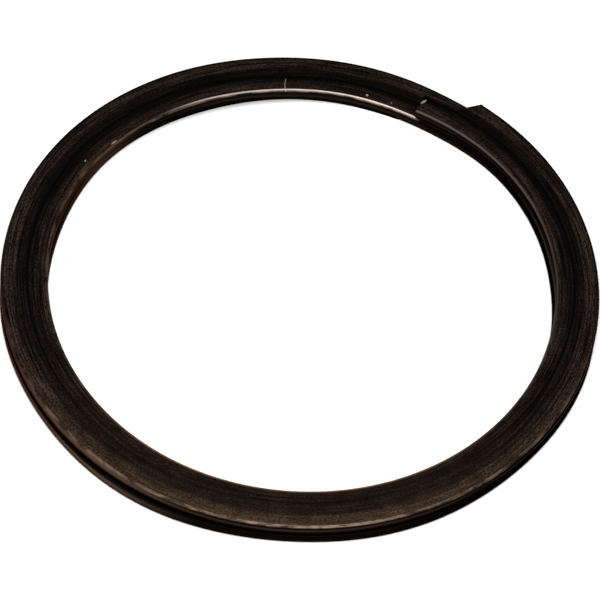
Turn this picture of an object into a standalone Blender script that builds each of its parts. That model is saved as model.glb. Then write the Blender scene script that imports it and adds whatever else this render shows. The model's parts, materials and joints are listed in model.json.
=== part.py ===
"""Split key ring: one flat spring-steel wire coiled into two turns.

The wire starts at the upper free end, runs clockwise (seen from above) through the upper
turn, steps down in the crossover bend and runs clockwise again to the lower free end.
It is cut into stretches that twist against each other on short torsion hinges, which
stand for the spring of the real wire when either end is prried open.

Frame: metres, +Z up, origin under the centre of the ring on the surface it lies on.
A place along the wire is its turn, in degrees of coil from the upper free end.
"""
import bpy
import bmesh
from math import cos, sin, pi, radians, degrees
from mathutils import Matrix, Vector

COLLECTION_NAME = "split_key_ring"

# The wire and the coil
RING_RADIUS = 0.0254        # outside of the coil
WIRE_WIDTH = 0.0038         # across the wire's flat face
WIRE_THICKNESS = 0.00094    # height of one turn
TURN_GAP = 0.0003           # air between the closed turns
EDGE_RADIUS = 0.00026       # rounding along the wire's four edges
STRETCH_GAP = 0.0003        # slot between two stretches, at a torsion hinge

# Where things are
TIP_BEARING = 67.5          # the upper free end, degrees counterclockwise from +X
CROSSOVER_START = 306.0     # turn where the wire starts to step down
CROSSOVER_END = 362.0       # turn where it lies on the lower level
WIRE_END = 682.0            # turn of the lower free end

# The wire's stretches: name, turn where it starts, turn where it ends, steel tone
STRETCHES = (
    ("upper_free_end", 0.0, 60.0, 0.125),
    ("upper_turn_right", 60.0, 120.0, 0.110),
    ("upper_turn_front", 120.0, 180.0, 0.135),
    ("upper_turn_left", 180.0, 240.0, 0.120),
    ("upper_turn_back", 240.0, 300.0, 0.100),
    ("crossover_bend", 300.0, 380.0, 0.090),
    ("lower_turn_right", 380.0, 455.0, 0.085),
    ("lower_turn_front", 455.0, 530.0, 0.095),
    ("lower_turn_left", 530.0, 605.0, 0.105),
    ("lower_free_end", 605.0, WIRE_END, 0.080),
)

# The step cut into the upper free end, for a fingernail
NOTCH_FLAT = 6.5            # turn where the cut along the wire's middle line ends
NOTCH_OUTER = 10.2          # turn where the slanted cut meets the outer edge

PATH_STEP = 3.0             # degrees of coil between two sections of the wire
CORNER_POINTS = 3           # points on each rounded edge of the wire's section

MIDDLE_RADIUS = RING_RADIUS - WIRE_WIDTH / 2
LEVEL_STEP = WIRE_THICKNESS + TURN_GAP
HINGE_SLOT = degrees(STRETCH_GAP / MIDDLE_RADIUS)


def remove_everything():
    for thing in list(bpy.data.objects):
        bpy.data.objects.remove(thing, do_unlink=True)


def make_collection(name):
    collection = bpy.data.collections.new(name)
    bpy.context.scene.collection.children.link(collection)
    return collection


def smooth_step(share):
    share = min(max(share, 0.0), 1.0)
    return (1 - cos(pi * share)) / 2


def bearing(turn):
    return radians(TIP_BEARING - turn)


def wire_point(turn, radius=MIDDLE_RADIUS):
    """Middle of the wire's section at this turn."""
    way_down = (turn - CROSSOVER_START) / (CROSSOVER_END - CROSSOVER_START)
    height = WIRE_THICKNESS / 2 + LEVEL_STEP * (1 - smooth_step(way_down))
    angle = bearing(turn)
    return Vector((radius * cos(angle), radius * sin(angle), height))


def hinge_frame(turn):
    """Frame on the wire whose X axis runs along the wire, counterclockwise from above."""
    angle = bearing(turn)
    along = Vector((-sin(angle), cos(angle), 0))
    up = Vector((0, 0, 1))
    across = up.cross(along)
    frame = Matrix((along, across, up)).transposed().to_4x4()
    frame.translation = wire_point(turn)
    return frame


def wire_section(collection):
    """The rounded oblong of the wire, a closed curve that every stretch is swept with."""
    corners = []
    for number, (side, level) in enumerate(((1, 1), (-1, 1), (-1, -1), (1, -1))):
        centre_x = side * (WIRE_WIDTH / 2 - EDGE_RADIUS)
        centre_y = level * (WIRE_THICKNESS / 2 - EDGE_RADIUS)
        for point in range(CORNER_POINTS):
            angle = pi / 2 * (number + point / (CORNER_POINTS - 1))
            corners.append((centre_x + EDGE_RADIUS * cos(angle), centre_y + EDGE_RADIUS * sin(angle)))
    data = bpy.data.curves.new("wire_section", "CURVE")
    data.dimensions = "2D"
    spline = data.splines.new("POLY")
    spline.points.add(len(corners) - 1)
    for point, (x, y) in zip(spline.points, corners):
        point.co = (x, y, 0, 1)
    spline.use_cyclic_u = True
    section = bpy.data.objects.new("wire_section", data)
    section.hide_render = True
    section.display_type = "WIRE"
    collection.objects.link(section)
    return section


def swept_wire(name, start, end, section, collection):
    """A closed mesh of the wire from one turn to another."""
    steps = round((end - start) / PATH_STEP)
    data = bpy.data.curves.new(name + "_path", "CURVE")
    data.dimensions = "3D"
    data.twist_mode = "Z_UP"
    data.bevel_mode = "OBJECT"
    data.bevel_object = section
    data.use_fill_caps = True
    spline = data.splines.new("POLY")
    spline.points.add(steps)
    for number, point in enumerate(spline.points):
        turn = start + (end - start) * number / steps
        point.co = (*wire_point(turn), 1)
    path = bpy.data.objects.new(name + "_path", data)
    collection.objects.link(path)
    bpy.context.view_layer.update()

    evaluated = path.evaluated_get(bpy.context.evaluated_depsgraph_get())
    mesh = bpy.data.meshes.new_from_object(evaluated)
    mesh.name = name
    mesh.transform(path.matrix_world)
    bpy.data.objects.remove(path, do_unlink=True)
    weld_and_face_out(mesh)
    stretch = bpy.data.objects.new(name, mesh)
    collection.objects.link(stretch)
    return stretch


def weld_and_face_out(mesh):
    work = bmesh.new()
    work.from_mesh(mesh)
    bmesh.ops.remove_doubles(work, verts=work.verts, dist=0.000001)
    bmesh.ops.recalc_face_normals(work, faces=work.faces)
    work.to_mesh(mesh)
    work.free()


def tip_cutter(collection):
    """Block whose edges are the stepped cut: along the middle line, then slanting out."""
    far = RING_RADIUS + WIRE_WIDTH
    outline = [wire_point(turn) for turn in (-2 * PATH_STEP, 0.0, NOTCH_FLAT / 2, NOTCH_FLAT)]
    outline.append(wire_point(NOTCH_OUTER, RING_RADIUS))
    outline.append(wire_point(NOTCH_OUTER + 1.0, far))
    outline.append(wire_point(-2 * PATH_STEP, far))
    data = bpy.data.curves.new("tip_cutter", "CURVE")
    data.dimensions = "2D"
    data.fill_mode = "BOTH"
    data.extrude = WIRE_THICKNESS
    spline = data.splines.new("POLY")
    spline.points.add(len(outline) - 1)
    for point, place in zip(spline.points, outline):
        point.co = (place.x, place.y, 0, 1)
    spline.use_cyclic_u = True
    block = bpy.data.objects.new("tip_cutter_outline", data)
    collection.objects.link(block)
    bpy.context.view_layer.update()
    mesh = bpy.data.meshes.new_from_object(block.evaluated_get(bpy.context.evaluated_depsgraph_get()))
    bpy.data.objects.remove(block, do_unlink=True)
    weld_and_face_out(mesh)

    cutter = bpy.data.objects.new("tip_cutter", mesh)
    cutter.location = (0, 0, wire_point(0.0).z)
    cutter.hide_render = True
    cutter.display_type = "WIRE"
    collection.objects.link(cutter)
    return cutter


def steel(name, tone):
    """Dark bronze finish on spring steel."""
    material = bpy.data.materials.new(name + "_steel")
    material.use_nodes = True
    shader = material.node_tree.nodes["Principled BSDF"]
    shader.inputs["Base Color"].default_value = (tone, tone * 0.87, tone * 0.76, 1)
    shader.inputs["Metallic"].default_value = 1.0
    shader.inputs["Roughness"].default_value = 0.38
    material.diffuse_color = (tone * 3, tone * 2.6, tone * 2.3, 1)
    return material


def hang_on_pivot(stretch, pivot):
    """Give the stretch its origin on its own hinge, without moving it."""
    bpy.context.view_layer.update()
    stretch.data.transform(pivot.matrix_world.inverted())
    stretch.parent = pivot


def build():
    remove_everything()
    parts = make_collection(COLLECTION_NAME)
    cutters = make_collection("cutters")
    section = wire_section(cutters)

    # The lower free end is the fixed stretch. Every other one hangs on the pivot at the hinge
    # where it meets the next stretch towards the lower free end.
    parent = None
    for name, start, end, tone in reversed(STRETCHES):
        first = start == 0.0
        last = end == WIRE_END
        wire_from = start if first else start + HINGE_SLOT / 2
        wire_to = end if last else end - HINGE_SLOT / 2
        stretch = swept_wire(name, wire_from, wire_to, section, parts)
        stretch.data.materials.append(steel(name, tone))
        stretch.data.shade_smooth()
        stretch.data.set_sharp_from_angle(angle=radians(50))
        if first:
            cut = stretch.modifiers.new("stepped tip", "BOOLEAN")
            cut.operation = "DIFFERENCE"
            cut.object = tip_cutter(cutters)
        if last:
            continue
        pivot = bpy.data.objects.new("pivot_" + name, None)
        pivot.empty_display_size = WIRE_WIDTH
        parts.objects.link(pivot)
        pivot.matrix_world = hinge_frame(end)
        if parent is not None:
            bpy.context.view_layer.update()
            pivot.parent = parent
            pivot.matrix_parent_inverse = parent.matrix_world.inverted()
        hang_on_pivot(stretch, pivot)
        parent = pivot


build()
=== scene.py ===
"""Split key ring: one flat spring-steel wire, black-oxide finish rubbed to bronze on its edges."""
import json
from math import atan2, cos, degrees, hypot, pi, radians, sin

import bpy
import numpy as np
from mathutils import Matrix, Vector


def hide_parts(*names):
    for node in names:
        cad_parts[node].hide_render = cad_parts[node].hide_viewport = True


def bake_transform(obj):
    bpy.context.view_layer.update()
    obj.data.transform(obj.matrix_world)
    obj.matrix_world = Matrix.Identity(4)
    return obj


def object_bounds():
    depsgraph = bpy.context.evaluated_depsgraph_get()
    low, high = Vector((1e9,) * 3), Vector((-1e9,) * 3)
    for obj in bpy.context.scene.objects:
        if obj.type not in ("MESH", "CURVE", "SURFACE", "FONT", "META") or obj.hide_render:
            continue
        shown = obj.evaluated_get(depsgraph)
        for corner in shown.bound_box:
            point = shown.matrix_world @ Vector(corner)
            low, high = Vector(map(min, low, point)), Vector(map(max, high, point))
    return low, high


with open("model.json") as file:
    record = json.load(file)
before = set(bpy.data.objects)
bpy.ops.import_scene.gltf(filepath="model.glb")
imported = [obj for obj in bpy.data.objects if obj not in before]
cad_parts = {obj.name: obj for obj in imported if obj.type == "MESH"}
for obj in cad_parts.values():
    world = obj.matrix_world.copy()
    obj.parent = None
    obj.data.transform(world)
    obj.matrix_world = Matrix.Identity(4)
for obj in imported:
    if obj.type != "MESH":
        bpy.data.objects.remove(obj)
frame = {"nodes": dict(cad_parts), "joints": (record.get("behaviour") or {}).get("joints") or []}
CAD_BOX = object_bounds()

MM = 0.001

# ---------------------------------------------------------------- sizes taken from the frame
RING_RADIUS = (CAD_BOX[1].x - CAD_BOX[0].x) / 2
RING_HEIGHT = CAD_BOX[1].z - CAD_BOX[0].z
CAD_FRONT = frame["nodes"]["upper_turn_front"].data.vertices
WIRE_WIDTH = RING_RADIUS - min(hypot(v.co.x, v.co.y) for v in CAD_FRONT)
MIDDLE_RADIUS = RING_RADIUS - WIRE_WIDTH / 2
STRETCHES = ("upper_free_end", "upper_turn_right", "upper_turn_front", "upper_turn_left",
             "upper_turn_back", "crossover_bend", "lower_turn_right", "lower_turn_front",
             "lower_turn_left", "lower_free_end")

# ---------------------------------------------------------------- the wire's course
# A place along the wire is its turn, in degrees of coil from the upper free end.
TIP_BEARING = 67.0
CROSSOVER = (306.2, 366.0)                # where the wire steps down to the lower turn
# Places where the wire is narrower: (turn, reach, share of the ring's radius taken off the outer
# edge, share taken off the inner edge). A share below 0 widens it.
NARROWER = ((366.0, 9.0, 0.0030, 0.0), (338.0, 24.0, 0.004, 0.0045), (706.0, 15.0, 0.0, -0.006),
            (380.0, 10.0, 0.0, 0.004), (157.0, 45.0, 0.0065, 0.0))
# The lower free end runs on under the crossover bend, thinning to a feather edge, as a dark wedge
# that stands in for the shadow beneath the bend
WIRE_END = 716.0
THINS_FROM = 600.0                       # no part before this turn lies under the crossover
THINNEST = 0.04 * MM                     # the feather edge of the lower free end under the crossover bend
TURN_AIR = 0.06 * MM                     # air left between the closed turns
WIRE_THICKNESS = (RING_HEIGHT - TURN_AIR) / 2

# The real coil isn't a true circle. Each term is (waves round the ring, cosine, sine), as a
# share of the ring's radius.
COIL_WAVES = ((2, -0.0025, 0.0032), (3, -0.0004, 0.0044), (4, -0.0022, -0.0007))
LOWER_WAVES = ((1, -0.0013, 0.0097), (2, -0.0087, 0.0002), (3, 0.0030, -0.0062),
               (7, -0.0005, -0.0032))
WIDTH_WAVES = ((1, -0.0056, 0.0029), (2, -0.0050, 0.0005), (3, 0.0001, -0.0029))
COIL_GROWTH, GROWTH_TURN = 0.0141, 720   # share of the radius gained by this turn, evenly
WIDTH_SHARE = 0.1528                     # width of the wire, as a share of the ring's radius
TIP_FLARE, FLARE_REACH = 0.0199, 47.9    # how far the tip stands out, and over how many degrees
TIP_RISE, RISE_REACH = 0.0024, 60.0      # how far the tip springs up, and over how many degrees

# The stepped tip: the outer half is cut back to one turn, then slants out to another
NOTCH_FLAT = 7.5
NOTCH_OUTER = 10.5
NOTCH_WIDTH = 0.5                        # share of the width that is left
CUT_PAST = 0.4                           # degrees past the notch at which the sheared edge ends

# The wire's section
CORNER = 0.12 * MM                       # rounding of the wire's inner edges
OUTER_CORNER = 0.22 * MM                 # rounding of the wire's outer edges
WORN_CORNER = 0.34 * MM                  # rounding of the inner top edge where it is rubbed bright
CUT_CORNER = 0.07 * MM                   # rounding of the sheared edges at the tip
TIP_BEVEL = 0.06 * MM
BEVEL_MIDDLE = 0.4                       # share of the bevel left a third of the way up it
BEVEL_LIMIT = 0.2                        # most that the bevel takes of the thickness at each side
CORNER_LIMIT = 0.8                       # most that a rounding takes of half the thickness
CREASE_DEPTH, CREASE_HALF = 0.022 * MM, 0.030
CREASE_SMOOTHING, CREASE_SAMPLES = 15.0, 7    # its course is averaged so many degrees each way
# The crease wanders across the width: (bearing, share of the width from the inner edge)
CREASE_COURSE = ((-90, 0.32), (-60, 0.28), (-30, 0.31), (0, 0.43), (45, 0.44), (90, 0.40),
                 (120, 0.47), (150, 0.43), (180, 0.45), (225, 0.40))
SECOND_CREASE_GAP, SECOND_CREASE_DEPTH = 0.22, 0.008 * MM
CROWN, CROWN_FROM = 0.10 * MM, 0.42       # fall of the crowned top toward its edges
CROWN_POWER = 2.4
TOP_BAND = 0.8                           # share of half the thickness above which z is the top
SIDE_BULGE = 0.08 * MM

ROW_STEP = 0.6                           # degrees of coil between two rows of the mesh
TIP_ROWS, TIP_ROWS_PAST = 60, 1.0        # close rows at the tip, and degrees they pass the notch by
TOP_POINTS, SIDE_POINTS, BASE_POINTS, CORNER_POINTS = 30, 6, 12, 7

# Where the inner top edge gets more rounded, and bright, in degrees of coil
BRIGHT_EDGE = (296.0, 318.0)
# Where the wire goes under the upper turn
COVERED = (360.3, 361.3)
COVERED_LATER = 10.5                     # the outer half shows this much further, by the notch


def waves(terms, angle):
    return sum(c * np.cos(n * angle) + s * np.sin(n * angle) for n, c, s in terms)


def smooth_step(share):
    share = np.clip(share, 0, 1)
    return (1 - np.cos(pi * share)) / 2


def step_down(turn):
    """0 on the upper turn, 1 on the lower turn."""
    return smooth_step((turn - CROSSOVER[0]) / (CROSSOVER[1] - CROSSOVER[0]))


def thickness_at(turn):
    """Full, but for the lower free end, which thins to fit under the crossover bend."""
    room = (1 - step_down(turn - 360)) * (RING_HEIGHT - WIRE_THICKNESS) - TURN_AIR
    return np.where(turn > THINS_FROM, np.clip(room, THINNEST, WIRE_THICKNESS), WIRE_THICKNESS)


def course(turn):
    """Bearing, outer radius, middle height and width of the wire at each turn."""
    angle = np.radians(TIP_BEARING - turn)
    low = step_down(turn)
    share = 1 + COIL_GROWTH * turn / GROWTH_TURN + TIP_FLARE * np.exp(-turn / FLARE_REACH)
    share = share + waves(COIL_WAVES, angle) + low * waves(LOWER_WAVES, angle)
    height = RING_HEIGHT - WIRE_THICKNESS / 2 - low * (RING_HEIGHT - WIRE_THICKNESS)
    height = height - (WIRE_THICKNESS - thickness_at(turn)) / 2
    height = height + RING_RADIUS * TIP_RISE * np.exp(-(turn / RISE_REACH) ** 2)
    width = WIDTH_SHARE + waves(WIDTH_WAVES, angle)
    for at, reach, off_outer, off_inner in NARROWER:
        near = np.exp(-((turn - at) / reach) ** 2)
        share = share - near * off_outer
        width = width - near * (off_outer + off_inner)
    return angle, RING_RADIUS * share, height, RING_RADIUS * width


def crease_at(turn):
    """Share of the width at which the crease runs, smoothed between the places read off."""
    bearings, shares = zip(*CREASE_COURSE)
    spread = np.linspace(-CREASE_SMOOTHING, CREASE_SMOOTHING, CREASE_SAMPLES)
    return np.mean([np.interp(TIP_BEARING - turn + d, bearings, shares, period=360)
                    for d in spread], axis=0)


def section(width, cut_width, thickness, inner_corner, outer_corner, crease_share):
    """Outline of the wire at one row, from the middle of the underside round by the inner edge.

    Returns distance from the inner edge, height over the middle, and the place round the
    section in millimetres, measured so that the top face starts at 0 over the inner edge."""
    half = thickness / 2
    low, inner, outer = (min(r, CORNER_LIMIT * half) for r in (CORNER, inner_corner, outer_corner))
    quarter = np.linspace(0, pi / 2, CORNER_POINTS)[:-1]
    base_in = np.linspace(cut_width / 2, low, BASE_POINTS // 2 + 1)[:-1]
    base_out = np.linspace(cut_width - outer, cut_width / 2, BASE_POINTS // 2 + 1)[:-1]
    side_in = np.linspace(-half + low, half - inner, SIDE_POINTS)[:-1]
    side_out = np.linspace(half - outer, -half + outer, SIDE_POINTS)[:-1]
    top = np.linspace(inner, cut_width - outer, TOP_POINTS)[:-1]
    bulge = SIDE_BULGE * thickness / WIRE_THICKNESS
    bulge_in = bulge * np.sin(np.linspace(0, pi, SIDE_POINTS)[:-1])
    bulge_out = bulge * (1 - (side_out / (half - outer)) ** 2)

    x = np.concatenate((
        base_in,
        low - low * np.sin(quarter),
        -bulge_in,
        inner - inner * np.cos(quarter),
        top,
        cut_width - outer + outer * np.sin(quarter),
        cut_width + bulge_out,
        cut_width - outer + outer * np.cos(quarter),
        base_out))
    z = np.concatenate((
        np.full(len(base_in), -half),
        -half + low - low * np.cos(quarter),
        side_in,
        half - inner + inner * np.sin(quarter),
        np.full(len(top), half),
        half - outer + outer * np.cos(quarter),
        side_out,
        -half + outer - outer * np.sin(quarter),
        np.full(len(base_out), -half)))

    share = x / width
    on_top = smooth_step((z - TOP_BAND * half) / ((1 - TOP_BAND) * half))
    on_top = on_top * thickness / WIRE_THICKNESS
    crease = CREASE_DEPTH * np.exp(-((share - crease_share) / CREASE_HALF) ** 2)
    second = SECOND_CREASE_DEPTH * np.exp(
        -((share - crease_share - SECOND_CREASE_GAP) / CREASE_HALF) ** 2)
    reach = np.where(share > CROWN_FROM, 1 - CROWN_FROM, CROWN_FROM)
    crown = CROWN * np.abs((share - CROWN_FROM) / reach) ** CROWN_POWER
    z = z - on_top * (crown + crease + second)

    steps = np.hypot(np.diff(x), np.diff(z))
    place = np.concatenate(((0,), np.cumsum(steps)))
    place = place - place[len(base_in) + 2 * len(quarter) + len(side_in)]
    return x, z, place / MM


def tip_outline(turn, width):
    """Width left by the stepped cut at the upper free end, and the rounding of its outer edge."""
    slant = np.clip((turn - NOTCH_FLAT) / (NOTCH_OUTER - NOTCH_FLAT), 0, 1)
    left = width * (NOTCH_WIDTH + (1 - NOTCH_WIDTH) * slant)
    return left, np.where(turn < NOTCH_OUTER + CUT_PAST, CUT_CORNER, OUTER_CORNER)


def wire_rows(turns, inset):
    """The wire's grid: points, wire place (mm along, mm round) and part (share across, level)."""
    angle, radius, height, width = course(turns)
    cut_width, outer_corner = tip_outline(turns, width)
    crease, thickness = crease_at(turns), thickness_at(turns)
    worn = smooth_step((turns - BRIGHT_EDGE[0]) / (BRIGHT_EDGE[1] - BRIGHT_EDGE[0]))
    inner_corner = CORNER + worn * (WORN_CORNER - CORNER)
    points, place, part = [], [], []
    for i, turn in enumerate(turns):
        x, z, around = section(width[i], cut_width[i], thickness[i], inner_corner[i],
                               outer_corner[i], crease[i])
        reach = inset[i]
        middle = cut_width[i] / 2
        x_in = middle + (x - middle) * (1 - 2 * reach / cut_width[i])
        z_in = z * (1 - 2 * min(reach, BEVEL_LIMIT * thickness[i]) / thickness[i])
        r = radius[i] - width[i] + x_in
        points.append(np.stack((r * cos(angle[i]), r * sin(angle[i]), height[i] + z_in), 1))
        along = np.full(len(x), radians(turn) * MIDDLE_RADIUS / MM)
        from_crease = x / width[i] - crease[i]
        place.append(np.stack((along, around, from_crease), 1))
        part.append(np.stack((x / width[i], z / (thickness[i] / 2), np.full(len(x), turn)), 1))
    return np.array(points), np.array(place), np.array(part)


def grid_normals(points):
    """Smooth normals of a grid that is closed round the section."""
    along = np.gradient(points, axis=0)
    around = np.roll(points, -1, axis=1) - np.roll(points, 1, axis=1)
    normal = np.cross(along, around)
    return normal / np.linalg.norm(normal, axis=2, keepdims=True)


def piece_turns(start, end):
    """Rows of one piece. The rows at the stepped tip are close, and each free end has a bevel."""
    bevel = degrees(TIP_BEVEL / MIDDLE_RADIUS)
    rows = list(np.linspace(start, end, round((end - start) / ROW_STEP) + 1))
    inset = [0.0] * len(rows)
    if start == 0:
        last = NOTCH_OUTER + TIP_ROWS_PAST
        fine = list(np.linspace(bevel, last, TIP_ROWS))
        rows = [0.0, bevel / 3] + fine + [t for t in rows if t > last + ROW_STEP / 3]
        inset = [TIP_BEVEL, TIP_BEVEL * BEVEL_MIDDLE] + [0.0] * (len(rows) - 2)
    if end == WIRE_END:
        rows = rows[:-1] + [end - bevel, end - bevel / 3, end]
        inset = [0.0] * (len(rows) - 2) + [TIP_BEVEL * BEVEL_MIDDLE, TIP_BEVEL]
    return np.array(rows), np.array(inset)


def wire_piece(name, start, end):
    """A closed mesh of the wire between two turns, whose normals meet its neighbours'."""
    turns, inset = piece_turns(start, end)
    lead = np.array((2 * turns[0] - turns[1],)) if start > 0 else turns[:0]
    tail = np.array((2 * turns[-1] - turns[-2],)) if end < WIRE_END else turns[:0]
    all_turns = np.concatenate((lead, turns, tail))
    all_inset = np.concatenate((lead * 0, inset, tail * 0))
    points, place, part = wire_rows(all_turns, all_inset)
    normals = grid_normals(points)
    keep = slice(len(lead), len(all_turns) - len(tail))
    points, place, part, normals = points[keep], place[keep], part[keep], normals[keep]

    rows, columns = points.shape[:2]
    number = np.arange(rows * columns).reshape(rows, columns)
    right = np.roll(number, -1, axis=1)
    quads = np.stack((number[:-1], number[1:], right[1:], right[:-1]), -1).reshape(-1, 4)
    faces = [tuple(map(int, quad)) for quad in quads]
    faces.append(tuple(map(int, number[0])))
    faces.append(tuple(map(int, number[-1][::-1])))

    mesh = bpy.data.meshes.new(name)
    mesh.from_pydata(points.reshape(-1, 3).tolist(), [], faces)
    mesh.update()
    flat_place, flat_part = place.reshape(-1, 3), part.reshape(-1, 3)
    for attribute, values in (("wire_place", flat_place), ("wire_part", flat_part)):
        made = mesh.attributes.new(attribute, "FLOAT_VECTOR", "POINT")
        made.data.foreach_set("vector", values.astype(np.float32).ravel())

    corner_normals = normals.reshape(-1, 3)[quads.ravel()]
    for row in (0, rows - 1):
        middle = points[row].mean(0)
        flat = np.cross(points[row][columns // 4] - middle, points[row][0] - middle)
        other = points[1 if row == 0 else rows - 2].mean(0)
        flat = flat / np.linalg.norm(flat)
        if flat @ (other - middle) > 0:
            flat = -flat
        corner_normals = np.concatenate((corner_normals, np.tile(flat, (columns, 1))))
    mesh.polygons.foreach_set("use_smooth", [True] * len(mesh.polygons))
    mesh.normals_split_custom_set(corner_normals.tolist())

    piece = bpy.data.objects.new(name, mesh)
    bpy.context.scene.collection.objects.link(piece)
    return piece


# ---------------------------------------------------------------- materials
class Paint:
    """Short calls for the nodes of one material."""

    def __init__(self, name):
        self.material = bpy.data.materials.new(name)
        self.material.use_nodes = True
        self.tree = self.material.node_tree
        self.shader = self.tree.nodes["Principled BSDF"]

    def put(self, socket, value):
        if isinstance(value, bpy.types.NodeSocket):
            self.tree.links.new(value, socket)
        else:
            socket.default_value = value

    def maths(self, operation, *values):
        node = self.tree.nodes.new("ShaderNodeMath")
        node.operation = operation
        for socket, value in zip(node.inputs, values):
            self.put(socket, value)
        return node.outputs[0]

    def product(self, first, *others):
        for other in others:
            first = self.maths("MULTIPLY", first, other)
        return first

    def less(self, mask, share):
        """1 where the mask is 0, less the share where the mask is 1."""
        return self.maths("MULTIPLY_ADD", mask, -share, 1.0)

    def attribute(self, name):
        node = self.tree.nodes.new("ShaderNodeAttribute")
        node.attribute_name = name
        return node.outputs["Vector"]

    def split(self, vector):
        node = self.tree.nodes.new("ShaderNodeSeparateXYZ")
        self.put(node.inputs[0], vector)
        return node.outputs[0], node.outputs[1], node.outputs[2]

    def join(self, x, y):
        node = self.tree.nodes.new("ShaderNodeCombineXYZ")
        self.put(node.inputs[0], x)
        self.put(node.inputs[1], y)
        return node.outputs[0]

    def stretch(self, vector, scale):
        node = self.tree.nodes.new("ShaderNodeMapping")
        self.put(node.inputs["Vector"], vector)
        node.inputs["Scale"].default_value = scale
        return node.outputs[0]

    def noise(self, vector, scale, detail, roughness):
        node = self.tree.nodes.new("ShaderNodeTexNoise")
        self.put(node.inputs["Vector"], vector)
        node.inputs["Scale"].default_value = scale
        node.inputs["Detail"].default_value = detail
        node.inputs["Roughness"].default_value = roughness
        return node.outputs["Fac"]

    def pattern(self, flat, settings):
        along, around, detail, roughness = settings
        return self.noise(self.stretch(flat, (along, around, 1)), 1.0, detail, roughness)

    def curve(self, value, stops):
        """Maps a value through (position, level) stops, smoothly."""
        node = self.tree.nodes.new("ShaderNodeValToRGB")
        ramp = node.color_ramp
        ramp.interpolation = "EASE"
        while len(ramp.elements) < len(stops):
            ramp.elements.new(0.5)
        for element, (position, level) in zip(ramp.elements, stops):
            element.position = position
            element.color = (level, level, level, 1)
        self.put(node.inputs[0], value)
        return node.outputs[0]

    def between(self, value, start, complete):
        """0 up to the start and 1 from the complete value on, which may be the lower one."""
        node = self.tree.nodes.new("ShaderNodeMapRange")
        node.interpolation_type = "SMOOTHSTEP"
        self.put(node.inputs[0], value)
        node.inputs[1].default_value = start
        node.inputs[2].default_value = complete
        return node.outputs[0]

    def window(self, value, rise, fall):
        """1 between two soft borders and 0 outside them."""
        return self.product(self.between(value, *rise), self.between(value, *fall))

    def mix(self, factor, first, second):
        """A colour mix. Sockets 6 and 7 of the node are its colours."""
        node = self.tree.nodes.new("ShaderNodeMix")
        node.data_type = "RGBA"
        self.put(node.inputs[0], factor)
        self.put(node.inputs[6], first)
        self.put(node.inputs[7], second)
        return node.outputs[2]

    def bump(self, height, distance, strength):
        node = self.tree.nodes.new("ShaderNodeBump")
        node.inputs["Strength"].default_value = strength
        node.inputs["Distance"].default_value = distance
        self.put(node.inputs["Height"], height)
        return node.outputs[0]


OXIDE = (0.0034, 0.0033, 0.0033, 1)
# Painted shade: the black at the walls' top edges and feet, under the crossover bend and where the
# upper turn covers the lower
SHADE_BLACK = (0.0022, 0.0018, 0.0016, 1)
BRONZE = (0.085, 0.055, 0.040, 1)
# A warmer, lighter bronze at the front, partly wear and partly painted light
FRONT_BRONZE = (0.098, 0.060, 0.036, 1)
WALL = (0.026, 0.018, 0.014, 1)
# The lower turn's wall, lightened as painted light
LIT_LOWER_WALL = (0.040, 0.028, 0.021, 1)
# The inner wall at the left of the ring, browned and lightened as painted light
LIT_BROWN_WALL = (0.032, 0.021, 0.015, 1)
# A dim copy of the inner rim, painted shade under the tip
SHADED_LEDGE = (0.060, 0.046, 0.039, 1)
# Rubbed outer edge, also a painted highlight at the front
RUBBED_AND_HIGHLIT = (0.165, 0.113, 0.084, 1)
BROWN_RIM = (0.12, 0.078, 0.056, 1)
TIP_RIM = (0.100, 0.076, 0.060, 1)
# The inner rim at the front, lightened as painted light
LIT_FRONT_RIM = (0.26, 0.135, 0.078, 1)
STRIP = (0.66, 0.56, 0.49, 1)
BARE = (0.50, 0.42, 0.36, 1)
EDGE_TINT = (0.35, 0.3, 0.26, 1)

# Patterns on the wire: (scale along, scale round, detail, roughness), the scales for each mm
LINES = (0.11, 5.0, 4.0, 0.6)
FINE_LINES = (0.18, 13.0, 3.0, 0.6)
PATCHES = (0.55, 1.2, 4.0, 0.6)
GRAIN = (5.0, 7.0, 2.0, 0.6)
GROOVES = (0.16, 7.0, 2.0, 0.5)
# How strongly each pattern marks the top, and how far handling has calmed it at the front
LINES_CONTRAST, FINE_LINES_CONTRAST, LINES_CALM = 5.4, 4.2, 0.7
PATCHES_CONTRAST, PATCHES_CALM = 2.4, 0.0
GRAIN_CONTRAST, GRAIN_CALM = 6.0, 0.35
DARKEST_MARK = 0.05

# A soft border is (value where it starts, value where it is complete), in the unit of what it
# borders: share across the width from the inner edge, level from -1 to 1, turn in degrees, or the
# value of a pattern.
TOP_LEVEL = (0.5, 0.85)
# The front of the ring is lighter, partly from handling and partly as painted light: its valley is
# partly filled in, its edges most of all
FRONT_TURN = 157.0
FRONT_REACH = (75.0, 25.0)
FILL_REACH, VALLEY_FILL = (135.0, 55.0), 0.20
EDGE_HIGHLIGHT_REACH = (85.0, 50.0)
# How bronze the top is across the width, and beside the crease (0.5 is the crease itself, its near
# black painted shade)
TONE_ACROSS = ((0.0, 0.44), (0.10, 0.29), (0.26, 0.18), (0.36, 0.05),
               (0.58, 0.10), (0.70, 0.34), (0.86, 0.41), (1.0, 0.44))
CREASE_TONE = ((0.35, 1.0), (0.39, 0.50), (0.42, 0.95), (0.46, 0.80), (0.484, 0.04),
               (0.516, 0.02), (0.545, 0.70), (0.66, 0.95), (0.71, 0.40), (0.75, 1.0))
CREASE_AT_FRONT = 0.75
# Painted shade on the outer edge of the top, away from the front
SHADED_EDGE, SHADED_EDGE_SHARE = (0.92, 0.97), 0.80
GROOVE_BORDER = (0.66, 0.56)
WARM_ACROSS = (0.55, 0.80)

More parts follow.
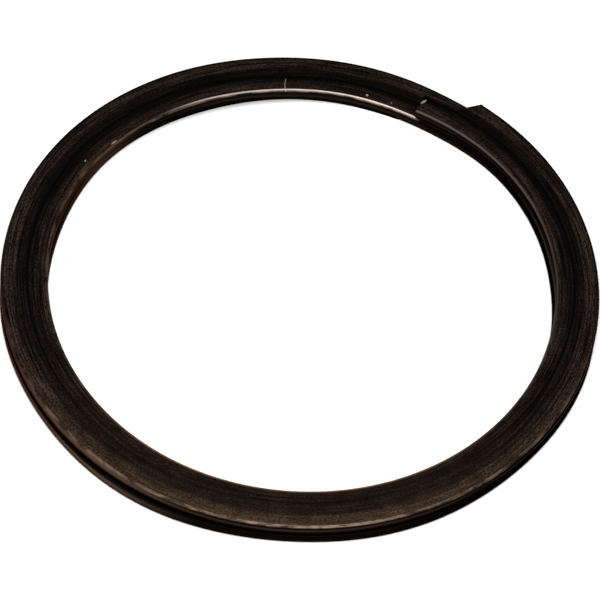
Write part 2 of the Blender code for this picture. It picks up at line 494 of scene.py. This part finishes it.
# The walls: brown in the middle of their height, black at the top edge and the foot, where the
# black is painted shade
LOWER_FROM = (355.0, 365.0)
FOOT_LEVEL = (-0.95, -0.55)
UPPER_WALL_LEVEL, LOWER_WALL_LEVEL = (0.45, 0.05), (0.20, -0.30)
WALL_LINES = 1.8
SHADOWED_END = (665.0, 640.0)
FAR_SIDE, FAR_SHADE = (270.0, 300.0), 0.6
TIP_SHADE, TIP_SHADE_SHARE = (75.0, 20.0), 0.4
LEFT_RISE, LEFT_FALL, LEFT_ACROSS = (210.0, 235.0), (296.0, 280.0), (0.5, 0.4)
OUTER_LEFT_RISE, OUTER_LEFT_FALL = (170.0, 195.0), (268.0, 245.0)
OUTER_LEFT_ACROSS, OUTER_LEFT_LEVEL, OUTER_LEFT_SHARE = (0.5, 0.6), (-0.9, -0.3), 0.45

# Rubbed edges of the top, which at the front also carry painted highlight and painted light
OUTER_EDGE, INNER_EDGE = (0.930, 0.965), (0.060, 0.030)
RIM_FROM, CHAFE = (50.0, 90.0), (0.38, 0.62)
TIP_RIM_EDGE, TIP_RIM_REACH = (0.040, 0.030), (90.0, 50.0)
STRIP_RISE, STRIP_FALL = (0.032, 0.046), (0.078, 0.064)

# The part of the lower turn that the upper turn covers, darkened as painted shade
OUTER_HALF = (0.4, 0.5)
COVERED_SHADE, DEEPER_ACROSS, DEEPER_SHADE = 0.50, (0.80, 0.90), 0.42
LEDGE_RISE, LEDGE_FALL, LEDGE_END = (0.030, 0.045), (0.090, 0.075), (0.10, 0.16)
BESIDE_TIP_RISE, BESIDE_TIP_FALL = (359.4, 360.4), (370.0, 364.0)
BESIDE_TIP_ACROSS = (0.66, 0.54)

# Bare specks: (turn, share of the width, half length along in mm, half length across in mm,
# lean along for each mm across)
NICKS = ((0.50, 0.30, 0.12, 0.30, 0.40), (347.9, 0.17, 0.12, 0.11, 0.0),
         (353.6, 0.17, 0.05, 0.05, 0.0), (276.7, 0.185, 0.11, 0.07, 0.0),
         (285.1, 0.055, 0.35, 0.05, 0.0))
NICK_BORDER = (1.3, 0.5)
# A pale scratch across the inner band. It bows toward a later turn away from SCRATCH_MIDDLE.
SCRATCH_TURN, SCRATCH_END, SCRATCH_BOW, SCRATCH_MIDDLE = 329.3, (0.38, 0.30), 9.0, 0.15
SCRATCH_BORDER, SCRATCH_STRENGTH = (0.15, 0.05), 0.6

ROUGHNESS, LINE_ROUGHNESS, GRAIN_ROUGHNESS = 0.22, 0.22, 0.10
RELIEF, RELIEF_STRENGTH, GRAIN_RELIEF = 0.02 * MM, 0.7, 0.5


class Place:
    """Where on the wire a point is, as sockets of one material."""

    def __init__(self, paint):
        self.along, self.around, self.from_crease = paint.split(paint.attribute("wire_place"))
        self.across, self.level, self.turn = paint.split(paint.attribute("wire_part"))
        self.round_ring = paint.maths("MODULO", self.turn, 360.0)
        self.on_top = paint.between(self.level, *TOP_LEVEL)
        self.lower = paint.between(self.turn, *LOWER_FROM)
        self.from_front = paint.maths("ABSOLUTE", paint.maths("SUBTRACT", self.turn, FRONT_TURN))
        self.front = paint.between(self.from_front, *FRONT_REACH)
        self.filled = paint.between(self.from_front, *FILL_REACH)


class Marks:
    """The patterns that drawing, oxide and handling have left, as sockets of one material."""

    def __init__(self, paint, place):
        flat = paint.join(place.along, place.around)
        self.lines = paint.pattern(flat, LINES)
        self.fine_lines = paint.pattern(flat, FINE_LINES)
        self.patches = paint.pattern(flat, PATCHES)
        self.grain = paint.pattern(flat, GRAIN)
        self.grooves = paint.pattern(flat, GROOVES)


def top_tone(paint, place, marks):
    """How far the top is rubbed from oxide to bronze, with painted shade and painted light in it.
    """
    tone = paint.curve(place.across, TONE_ACROSS)
    # At the front the valley and crease are lifted, partly wear and partly painted light
    tone = paint.maths("MAXIMUM", tone, paint.product(place.filled, VALLEY_FILL))
    # The near black at the crease is painted shade
    crease = paint.curve(paint.maths("ADD", place.from_crease, 0.5), CREASE_TONE)
    crease = paint.maths("MAXIMUM", crease, paint.product(place.front, CREASE_AT_FRONT))
    unfilled = paint.maths("SUBTRACT", 1.0, place.filled)
    # Painted shade on the outer edge of the top, away from the front
    shaded_edge = paint.product(paint.between(place.across, *SHADED_EDGE), unfilled)
    tone = paint.product(tone, crease, paint.less(shaded_edge, SHADED_EDGE_SHARE))
    for pattern, contrast, calm in ((marks.lines, LINES_CONTRAST, LINES_CALM),
                                    (marks.fine_lines, FINE_LINES_CONTRAST, LINES_CALM),
                                    (marks.patches, PATCHES_CONTRAST, PATCHES_CALM),
                                    (marks.grain, GRAIN_CONTRAST, GRAIN_CALM)):
        strength = paint.maths("MULTIPLY_ADD", place.front, -calm * contrast, contrast)
        centred = paint.maths("SUBTRACT", pattern, 0.5)
        factor = paint.maths("MULTIPLY_ADD", centred, strength, 1.0)
        tone = paint.product(tone, paint.maths("MAXIMUM", factor, DARKEST_MARK))
    groove = paint.maths("MAXIMUM", paint.between(marks.grooves, *GROOVE_BORDER), place.front)
    return paint.maths("MINIMUM", paint.product(tone, groove), 1.0)


def top_colour(paint, place, marks):
    warm = paint.product(place.front, paint.between(place.across, *WARM_ACROSS))
    bronze = paint.mix(warm, BRONZE, FRONT_BRONZE)
    return paint.mix(top_tone(paint, place, marks), OXIDE, bronze)


def wall_colour(paint, place, marks):
    """The sides of the wire, browner at the left of the ring, with painted light and painted shade.
    """
    across, level, turn = place.across, place.level, place.turn
    # Painted shade blackens each wall's top edge and foot, the lower free end under the crossover
    # bend, the far side and the wall under the tip
    upper_tone = paint.between(level, *UPPER_WALL_LEVEL)
    lower_tone = paint.between(level, *LOWER_WALL_LEVEL)
    tone = paint.product(
        paint.mix(place.lower, upper_tone, lower_tone),
        paint.between(level, *FOOT_LEVEL),
        paint.product(marks.fine_lines, WALL_LINES),
        paint.between(turn, *SHADOWED_END),
        paint.less(paint.between(turn, *FAR_SIDE), FAR_SHADE),
        paint.less(paint.between(turn, *TIP_SHADE), TIP_SHADE_SHARE))
    # The lower turn's wall is lightened as painted light
    wall = paint.mix(tone, SHADE_BLACK, paint.mix(place.lower, WALL, LIT_LOWER_WALL))
    # Painted light: the inner wall at the left of the ring is browner and lighter
    lit_inner_left = paint.product(paint.window(place.round_ring, LEFT_RISE, LEFT_FALL),
                               paint.between(across, *LEFT_ACROSS))
    wall = paint.mix(lit_inner_left, wall, LIT_BROWN_WALL)
    outer_left = paint.product(
        paint.window(place.round_ring, OUTER_LEFT_RISE, OUTER_LEFT_FALL),
        paint.between(across, *OUTER_LEFT_ACROSS),
        paint.between(level, *OUTER_LEFT_LEVEL),
        OUTER_LEFT_SHARE)
    return paint.mix(outer_left, wall, BROWN_RIM)


def rub_and_highlight_edges(paint, place, marks, colour):
    """The rubbed edges of the top, with painted highlights at the front, and the bare strip where
    the wire starts to step down.
    """
    across, turn, on_top = place.across, place.turn, place.on_top
    chafe = paint.between(marks.patches, *CHAFE)
    # At the front the outer edge's rub is also a painted highlight
    rub_and_highlight = paint.product(paint.between(across, *OUTER_EDGE),
                        paint.between(place.from_front, *EDGE_HIGHLIGHT_REACH), on_top, chafe)
    colour = paint.mix(rub_and_highlight, colour, RUBBED_AND_HIGHLIT)
    # The inner rim is lighter at the front as painted light
    rim = paint.product(paint.between(across, *INNER_EDGE), paint.between(turn, *RIM_FROM),
                        on_top, paint.maths("MAXIMUM", chafe, place.front))
    colour = paint.mix(rim, colour, paint.mix(place.front, BROWN_RIM, LIT_FRONT_RIM))
    tip_rim = paint.product(paint.between(turn, *TIP_RIM_REACH), on_top,
                            paint.between(across, *TIP_RIM_EDGE))
    colour = paint.mix(tip_rim, colour, TIP_RIM)
    bright = paint.product(paint.between(turn, *BRIGHT_EDGE), on_top,
                           paint.window(across, STRIP_RISE, STRIP_FALL))
    return paint.mix(bright, colour, STRIP)


def darken_covered(paint, place, wall, colour):
    """Painted shade over unrubbed oxide where the upper turn lies on the wire, and in the black
    seam beside the tip.
    """
    across, turn = place.across, place.turn
    later = paint.product(paint.between(across, *OUTER_HALF), COVERED_LATER)
    covered = paint.between(paint.maths("SUBTRACT", turn, later), *COVERED)
    depth = paint.maths("MULTIPLY_ADD", paint.between(across, *DEEPER_ACROSS), DEEPER_SHADE,
                        COVERED_SHADE)
    # The inner ledge is a dim copy of the rim, as painted shade under the tip
    inner_edge = paint.mix(paint.window(across, LEDGE_RISE, LEDGE_FALL), SHADE_BLACK, SHADED_LEDGE)
    past_ledge = paint.between(across, *LEDGE_END)
    hidden = paint.mix(past_ledge, inner_edge, paint.mix(depth, colour, SHADE_BLACK))
    colour = paint.mix(covered, colour, paint.mix(place.on_top, wall, hidden))
    beside_tip = paint.product(paint.window(turn, BESIDE_TIP_RISE, BESIDE_TIP_FALL),
                               paint.between(across, *BESIDE_TIP_ACROSS), past_ledge)
    return paint.mix(beside_tip, colour, SHADE_BLACK)


def add_nicks(paint, place, colour):
    mm_each_degree = radians(1) * MIDDLE_RADIUS / MM
    width = WIRE_WIDTH / MM
    for at, share, half_along, half_across, lean in NICKS:
        dx = paint.maths("MULTIPLY_ADD", place.turn, mm_each_degree / half_along,
                         -at * mm_each_degree / half_along)
        dy = paint.maths("MULTIPLY_ADD", place.across, width / half_across,
                         -share * width / half_across)
        dx = paint.maths("MULTIPLY_ADD", dy, -lean * half_across / half_along, dx)
        far = paint.maths("ADD", paint.product(dx, dx), paint.product(dy, dy))
        nick = paint.product(paint.between(far, *NICK_BORDER), place.on_top)
        colour = paint.mix(nick, colour, BARE)
    return colour


def add_scratch(paint, place, colour):
    bow = paint.maths("POWER", paint.maths("SUBTRACT", place.across, SCRATCH_MIDDLE), 2.0)
    centre = paint.maths("MULTIPLY_ADD", bow, SCRATCH_BOW, SCRATCH_TURN)
    off = paint.maths("ABSOLUTE", paint.maths("SUBTRACT", place.turn, centre))
    scratch = paint.product(paint.between(off, *SCRATCH_BORDER),
                            paint.between(place.across, *SCRATCH_END), place.on_top,
                            SCRATCH_STRENGTH)
    return paint.mix(scratch, colour, BARE)


def oxide_steel():
    """Black-oxide spring steel: fine drawing lines along the wire, dark valley, rubbed edges,
    painted light and shade.
    """
    paint = Paint("oxide_steel")
    place = Place(paint)
    marks = Marks(paint, place)
    wall = wall_colour(paint, place, marks)
    colour = paint.mix(place.on_top, wall, top_colour(paint, place, marks))
    colour = rub_and_highlight_edges(paint, place, marks, colour)
    colour = darken_covered(paint, place, wall, colour)
    colour = add_nicks(paint, place, colour)
    colour = add_scratch(paint, place, colour)

    shader = paint.shader
    paint.put(shader.inputs["Base Color"], colour)
    shader.inputs["Metallic"].default_value = 1.0
    shader.inputs["Specular Tint"].default_value = EDGE_TINT
    rough = paint.maths("MULTIPLY_ADD", marks.lines, LINE_ROUGHNESS, ROUGHNESS)
    rough = paint.maths("MULTIPLY_ADD", marks.grain, GRAIN_ROUGHNESS, rough)
    paint.put(shader.inputs["Roughness"], rough)
    relief = paint.maths("MULTIPLY_ADD", marks.grain, GRAIN_RELIEF, marks.lines)
    paint.put(shader.inputs["Normal"], paint.bump(relief, RELIEF, RELIEF_STRENGTH))
    return paint.material


FLOOR_DARKER = (0.90, 0.90, 0.895, 1)
FLOOR_LIGHTER = (0.93, 0.93, 0.925, 1)
FLOOR_MOTTLE = 40.0                      # patches of the floor's mottle in a metre
FLOOR_ROUGHNESS = 0.9


def pale_floor():
    paint = Paint("pale_floor")
    mottle = paint.noise(paint.attribute("position"), FLOOR_MOTTLE, 2.0, 0.5)
    paint.put(paint.shader.inputs["Base Color"], paint.mix(mottle, FLOOR_DARKER, FLOOR_LIGHTER))
    paint.shader.inputs["Roughness"].default_value = FLOOR_ROUGHNESS
    return paint.material


# ---------------------------------------------------------------- the ring
def hinge_turns():
    """The turn of each torsion hinge, read from the frame's joints, from the tip inwards."""
    joints = {joint["child"]: joint for joint in frame["joints"]}
    turns, last = [], 0.0
    for child in STRETCHES[:-1]:
        x, y = joints[child]["pos_m"][:2]
        turn = (TIP_BEARING - degrees(atan2(y, x))) % 360
        while turn < last:
            turn += 360
        turns.append(turn)
        last = turn
    return turns


def build_wire(steel):
    """One piece for each hinge, from the middle of one stretch to the middle of the next."""
    hinges = hinge_turns()
    ends = [0.0] + [(a + b) / 2 for a, b in zip(hinges, hinges[1:])] + [WIRE_END]
    for number, hinge in enumerate(hinges):
        start, end = ends[number], ends[number + 1]
        before, after = STRETCHES[number], STRETCHES[number + 1]
        piece = wire_piece("wire_" + before, start, end)
        piece.data.materials.append(steel)
        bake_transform(piece)
        replaced = (before, after) if after == STRETCHES[-1] else (before,)
        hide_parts(*replaced)


# ---------------------------------------------------------------- floor, light and camera
FLOOR_SIZE = 1.6
FLOOR_GAP = 0.02 * MM                    # keeps the floor from meeting the underside


def add_floor():
    bpy.ops.mesh.primitive_grid_add(x_subdivisions=2, y_subdivisions=2, size=FLOOR_SIZE,
                                    location=(0, 0, -FLOOR_GAP))
    floor = bpy.context.object
    floor.name = "floor"
    floor.data.materials.append(pale_floor())


# Each softbox: (name, place, size, power). They all face the ring's middle.
SOFTBOXES = (("overhead", (0.0, -0.06, 0.32), (0.26, 0.2), 1.4),
             ("back_sky", (0.0, 0.30, 0.34), (0.45, 0.3), 0.18),
             ("front", (0.0, -0.30, 0.22), (0.5, 0.2), 1.6))


def add_softbox(name, place, size, power):
    data = bpy.data.lights.new(name, "AREA")
    data.shape = "RECTANGLE"
    data.size, data.size_y = size
    data.energy = power
    lamp = bpy.data.objects.new(name, data)
    lamp.location = place
    lamp.rotation_euler = (-Vector(place)).to_track_quat("-Z", "Y").to_euler()
    bpy.context.scene.collection.objects.link(lamp)


CAMERA_ELEVATION = 52.00
CAMERA_ROLL = 5.36
CAMERA_DISTANCE = 16.66                  # in ring radii
CAMERA_TARGET = (0.0038, -0.0076)        # in ring radii
PIXELS_PER_RADIUS = 297.94
IMAGE_SIZE = 600
SENSOR = 36.0
CLIP_START, CLIP_END = 0.01, 10.0


def add_camera():
    elevation, roll = radians(CAMERA_ELEVATION), radians(CAMERA_ROLL)
    back = Vector((0, -cos(elevation), sin(elevation)))
    level = Vector((1, 0, 0))
    upright = back.cross(level)
    right = cos(roll) * level + sin(roll) * upright
    up = -sin(roll) * level + cos(roll) * upright
    target = Vector((CAMERA_TARGET[0], CAMERA_TARGET[1], 0)) * RING_RADIUS
    data = bpy.data.cameras.new("camera")
    data.sensor_width = SENSOR
    data.lens = PIXELS_PER_RADIUS * CAMERA_DISTANCE / IMAGE_SIZE * SENSOR
    data.clip_start = CLIP_START
    data.clip_end = CLIP_END
    camera = bpy.data.objects.new("camera", data)
    frame_of_camera = Matrix((right, up, back)).transposed().to_4x4()
    frame_of_camera.translation = target + back * CAMERA_DISTANCE * RING_RADIUS
    camera.matrix_world = frame_of_camera
    bpy.context.scene.collection.objects.link(camera)
    bpy.context.scene.camera = camera


WORLD_COLOUR, WORLD_STRENGTH = (1, 0.99, 0.975, 1), 0.06


def add_world():
    world = bpy.data.worlds.new("studio")
    bpy.context.scene.world = world
    world.use_nodes = True
    background = world.node_tree.nodes["Background"]
    background.inputs["Color"].default_value = WORLD_COLOUR
    background.inputs["Strength"].default_value = WORLD_STRENGTH


add_camera()
add_world()
add_floor()
for softbox in SOFTBOXES:
    add_softbox(*softbox)
build_wire(oxide_steel())
bpy.context.scene.view_settings.view_transform = "Standard"
